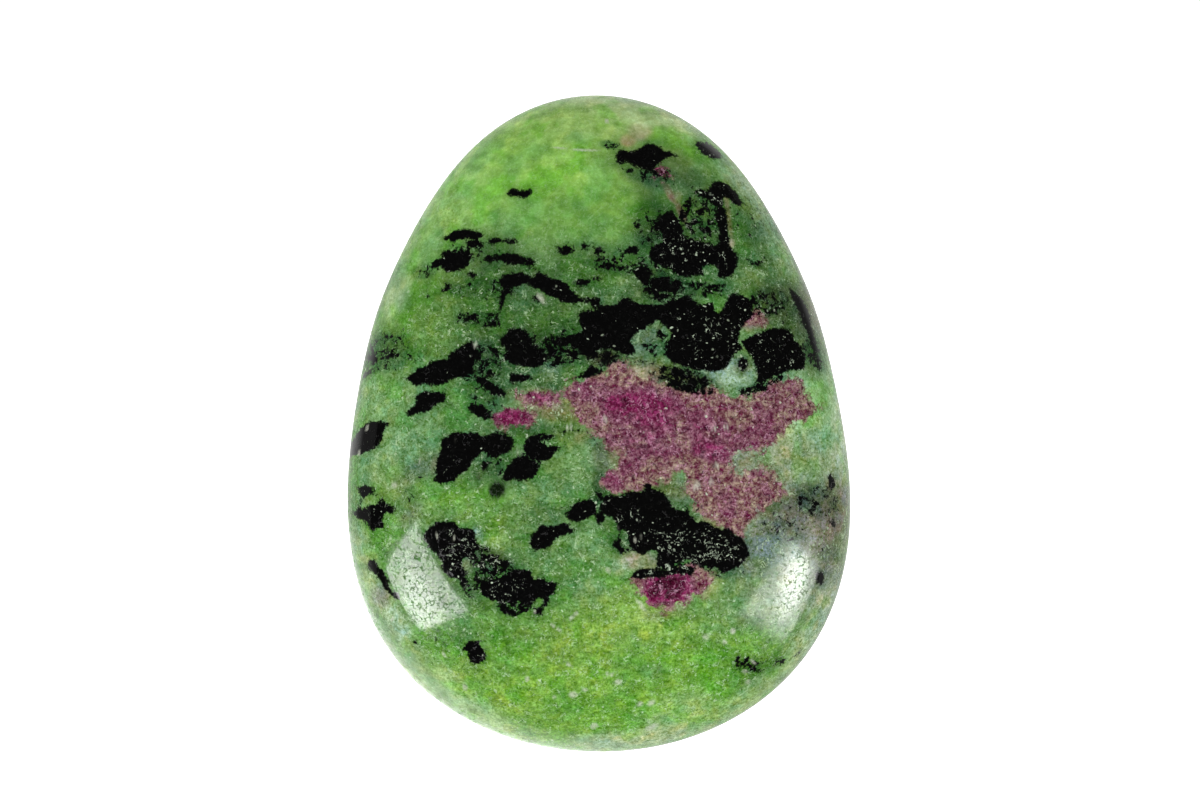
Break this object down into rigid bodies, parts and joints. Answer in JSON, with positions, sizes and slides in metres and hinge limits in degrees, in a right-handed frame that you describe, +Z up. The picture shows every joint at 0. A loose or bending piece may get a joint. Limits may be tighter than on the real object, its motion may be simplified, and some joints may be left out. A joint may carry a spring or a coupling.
{
  "type": "polished ruby in zoisite pebble",
  "caption": "Egg-shaped polished pebble of green zoisite with black hornblende and crimson ruby, lying on a small worn flat.",
  "frame": {"origin": "on the surface the stone lies on, under the middle of its bounding box, at the middle of its worn flat", "axes": "+Z up out of the domed side, +Y along the stone to its narrow end, +X across it to the right as pictured"},
  "size_m": [0.0306, 0.04, 0.0124],
  "materials": {
    "ruby_in_zoisite": "polished"
  },
  "bodies": {
    "root": {"stone": "ruby_in_zoisite"}
  },
  "joints": []
}
